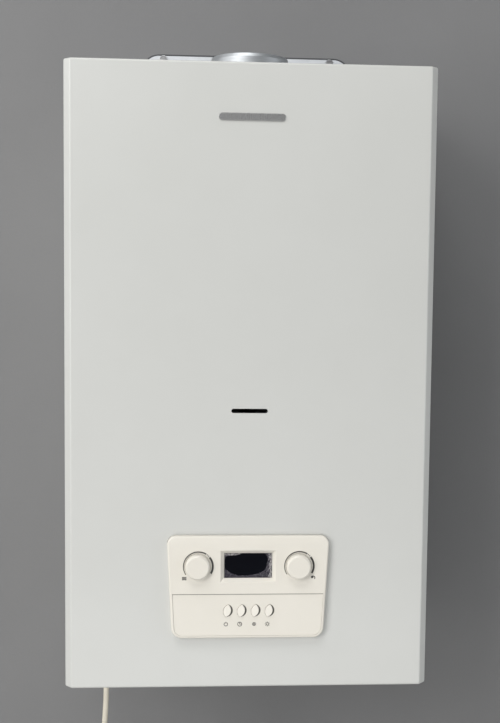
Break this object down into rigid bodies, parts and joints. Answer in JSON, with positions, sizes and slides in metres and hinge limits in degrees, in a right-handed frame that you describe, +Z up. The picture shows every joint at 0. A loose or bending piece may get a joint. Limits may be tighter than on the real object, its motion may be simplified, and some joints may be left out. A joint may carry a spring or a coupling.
{
  "type": "gas boiler",
  "caption": "Wall-hung combination gas boiler with fan flue: white sheet casing, lift-off front, control fascia with dials, display and buttons, and burner, fan and water parts inside",
  "frame": {"origin": "midway between the two wall screw holes, on the wall's face", "axes": "+X is right seen from the front, +Y goes into the wall, +Z is up; the front faces -Y"},
  "size_m": [0.435, 0.3364, 1.1093],
  "materials": {
    "white_paint": "semi-gloss powder coat",
    "zinc_sheet": "galvanised",
    "steel": "plain",
    "fascia_plastic": "fine satin",
    "grey_plastic": "satin",
    "board_green": "satin",
    "display_glass": "clear, dark",
    "display_grey": "satin",
    "clear_glass": "clear",
    "aluminium": "plain",
    "fibre": "fibre board",
    "ceramic": "glazed",
    "copper": "plain copper",
    "brass": "plain",
    "vessel_red": "gloss",
    "motor_black": "satin",
    "tap_blue": "satin",
    "cord_sheath": "smooth",
    "plug_plastic": "satin"
  },
  "bodies": {
    "boiler": {"left_side_panel": "white_paint", "right_side_panel": "white_paint", "wall_bracket": "zinc_sheet", "back_frame": "zinc_sheet", "top_plate": "zinc_sheet", "bottom_tray": "zinc_sheet", "air_box": "zinc_sheet", "air_box_cover": "zinc_sheet", "combustion_chamber": "zinc_sheet", "flue_hood": "zinc_sheet", "fan_housing": "zinc_sheet", "burner_bars": "steel", "plate_heat_exchanger": "steel", "gas_manifold": "steel", "control_fascia": "fascia_plastic", "button_panel": "fascia_plastic", "control_box": "grey_plastic", "control_box_cover": "grey_plastic", "valve_actuator": "grey_plastic", "air_pressure_switch": "grey_plastic", "pump_body": "grey_plastic", "control_board": "board_green", "display_window": "display_glass", "display_module": "display_grey", "air_box_window": "clear_glass", "chamber_sight_glass": "clear_glass", "flue_collar": "aluminium", "inner_flue": "aluminium", "gas_valve": "aluminium", "chamber_insulation": "fibre", "electrodes": "ceramic", "heat_exchanger": "copper", "flow_pipe": "copper", "return_pipe": "copper", "gas_pipe": "copper", "gas_inlet_pipe": "copper", "vessel_pipe": "copper", "flow_group": "brass", "return_group": "brass", "relief_valve": "brass", "expansion_vessel": "vessel_red", "pump_motor": "motor_black", "fan_motor": "motor_black", "cord_drop": "cord_sheath", "cord_coil": "cord_sheath", "cord_tail": "cord_sheath", "cord_gland": "plug_plastic", "plug": "plug_plastic", "cord_tie": "plug_plastic"},
    "cover": {"front_cover": "white_paint", "cover_studs": "steel"},
    "heating_dial": {"heating_knob": "fascia_plastic"},
    "hot_water_dial": {"hot_water_knob": "fascia_plastic"},
    "standby_key": {"standby_button": "fascia_plastic"},
    "timer_key": {"timer_button": "fascia_plastic"},
    "mode_key": {"mode_button": "fascia_plastic"},
    "season_key": {"season_button": "fascia_plastic"},
    "fan_rotor": {"fan_impeller": "steel"},
    "pump_rotor": {"pump_impeller": "grey_plastic"},
    "filling_tap": {"filling_tap_knob": "tap_blue"}
  },
  "joints": [
    {"name": "cover_pull", "type": "slide", "parent": "boiler", "child": "cover", "axis": [0, -1, 0], "range_m": [0, 0.1]},
    {"name": "heating_turn", "type": "hinge", "parent": "boiler", "child": "heating_dial", "pos_m": [-0.06, -0.3272, -0.6502], "axis": [0, -1, 0], "range_deg": [-130, 130]},
    {"name": "hot_water_turn", "type": "hinge", "parent": "boiler", "child": "hot_water_dial", "pos_m": [0.06, -0.3272, -0.6502], "axis": [0, -1, 0], "range_deg": [-130, 130]},
    {"name": "standby_press", "type": "slide", "parent": "boiler", "child": "standby_key", "axis": [0, 1, 0], "range_m": [0, 0.0012], "stiffness_N_per_m": 1200, "springref_m": -0.0005},
    {"name": "timer_press", "type": "slide", "parent": "boiler", "child": "timer_key", "axis": [0, 1, 0], "range_m": [0, 0.0012], "stiffness_N_per_m": 1200, "springref_m": -0.0005},
    {"name": "mode_press", "type": "slide", "parent": "boiler", "child": "mode_key", "axis": [0, 1, 0], "range_m": [0, 0.0012], "stiffness_N_per_m": 1200, "springref_m": -0.0005},
    {"name": "season_press", "type": "slide", "parent": "boiler", "child": "season_key", "axis": [0, 1, 0], "range_m": [0, 0.0012], "stiffness_N_per_m": 1200, "springref_m": -0.0005},
    {"name": "fan_spin", "type": "hinge", "parent": "boiler", "child": "fan_rotor", "pos_m": [-0.054, -0.165, -0.1612], "axis": [0, -1, 0], "continuous": true},
    {"name": "pump_spin", "type": "hinge", "parent": "boiler", "child": "pump_rotor", "pos_m": [0.13, -0.155, -0.688], "axis": [0, -1, 0], "continuous": true},
    {"name": "filling_turn", "type": "hinge", "parent": "boiler", "child": "filling_tap", "pos_m": [0.097, -0.085, -0.818], "axis": [0, 0, -1], "range_deg": [0, 90]}
  ]
}
